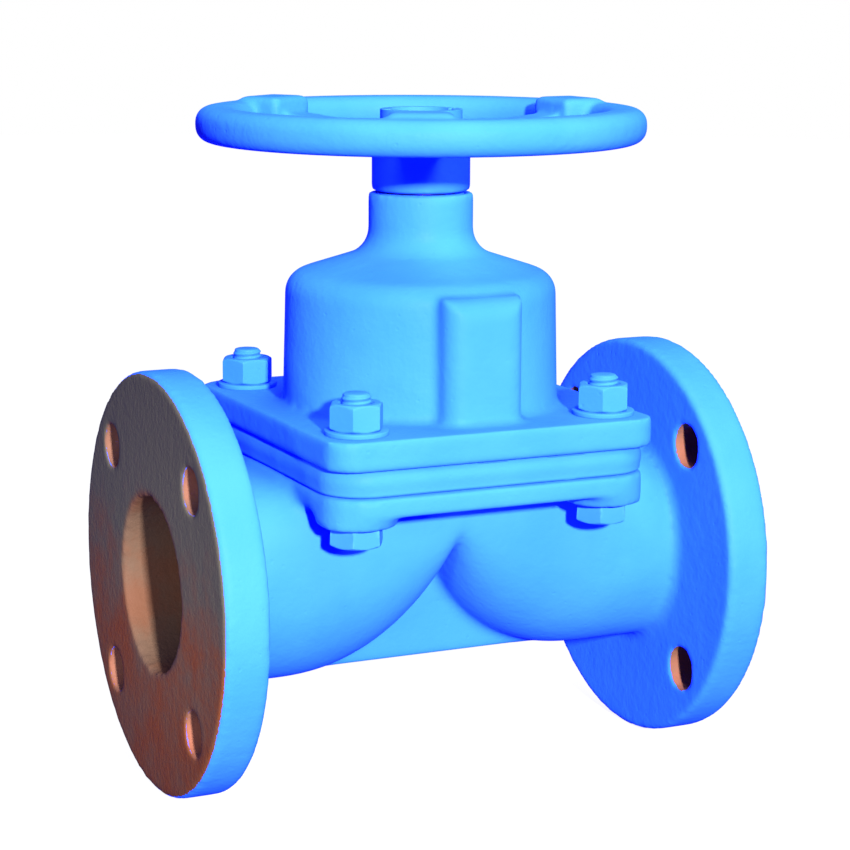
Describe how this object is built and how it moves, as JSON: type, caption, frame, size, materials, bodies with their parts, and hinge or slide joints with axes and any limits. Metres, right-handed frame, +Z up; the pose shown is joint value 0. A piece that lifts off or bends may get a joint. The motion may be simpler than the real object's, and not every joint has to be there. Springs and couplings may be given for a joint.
{
  "type": "diaphragm valve",
  "caption": "Weir-type flanged diaphragm valve: cast body with end flanges, clamped rubber diaphragm, domed bonnet, rising spindle and handwheel.",
  "frame": {"origin": "centre of the inlet flange's face, on the flow axis", "axes": "+X along the flow axis towards the outlet, +Z up the spindle towards the handwheel, +Y to the rear"},
  "size_m": [0.254, 0.1964, 0.2958],
  "materials": {
    "cast_body_paint": "gloss sky-blue spray paint over cast iron, brown primer on the machined faces and bores",
    "cast_bonnet_paint": "gloss sky-blue spray paint over cast iron",
    "cast_wheel_paint": "gloss sky-blue spray paint over cast iron",
    "gland_paint": "gloss sky-blue spray paint over steel",
    "fastener_paint": "gloss sky-blue spray paint over steel",
    "diaphragm_rubber": "rubber, its edge painted over with the body",
    "seal_rubber": "matt black rubber",
    "steel": "turned steel",
    "bronze": "turned bronze",
    "raw_cast_iron": "raw cast iron"
  },
  "bodies": {
    "valve_body": {"body": "cast_body_paint", "diaphragm": "diaphragm_rubber", "bonnet": "cast_bonnet_paint", "sleeve_gland": "gland_paint", "gland_oring": "seal_rubber", "lower_thrust_washer": "bronze", "upper_thrust_washer": "bronze", "bonnet_bolt_inlet_front": "fastener_paint", "bonnet_nut_inlet_front": "fastener_paint", "bonnet_washer_inlet_front": "fastener_paint", "bonnet_bolt_inlet_rear": "fastener_paint", "bonnet_nut_inlet_rear": "fastener_paint", "bonnet_washer_inlet_rear": "fastener_paint", "bonnet_bolt_outlet_front": "fastener_paint", "bonnet_nut_outlet_front": "fastener_paint", "bonnet_washer_outlet_front": "fastener_paint", "bonnet_bolt_outlet_rear": "fastener_paint", "bonnet_nut_outlet_rear": "fastener_paint", "bonnet_washer_outlet_rear": "fastener_paint"},
    "wheel_drive": {"handwheel": "cast_wheel_paint", "handwheel_key": "steel", "handwheel_nut": "fastener_paint", "spindle_sleeve": "bronze"},
    "spindle_drive": {"spindle": "steel", "compressor": "raw_cast_iron", "compressor_pin": "steel", "diaphragm_stud": "steel"}
  },
  "joints": [
    {"name": "handwheel_turn", "type": "hinge", "parent": "valve_body", "child": "wheel_drive", "pos_m": [0.127, 0, 0.19], "axis": [0, 0, 1], "range_deg": [0, 2340]},
    {"name": "spindle_lift", "type": "slide", "parent": "valve_body", "child": "spindle_drive", "axis": [0, 0, 1], "range_m": [0, 0.0325], "deforming": ["diaphragm"]}
  ],
  "couplings": [
    {"joint": "spindle_lift", "follows": "handwheel_turn", "m_per_rad": 0.00079577}
  ]
}
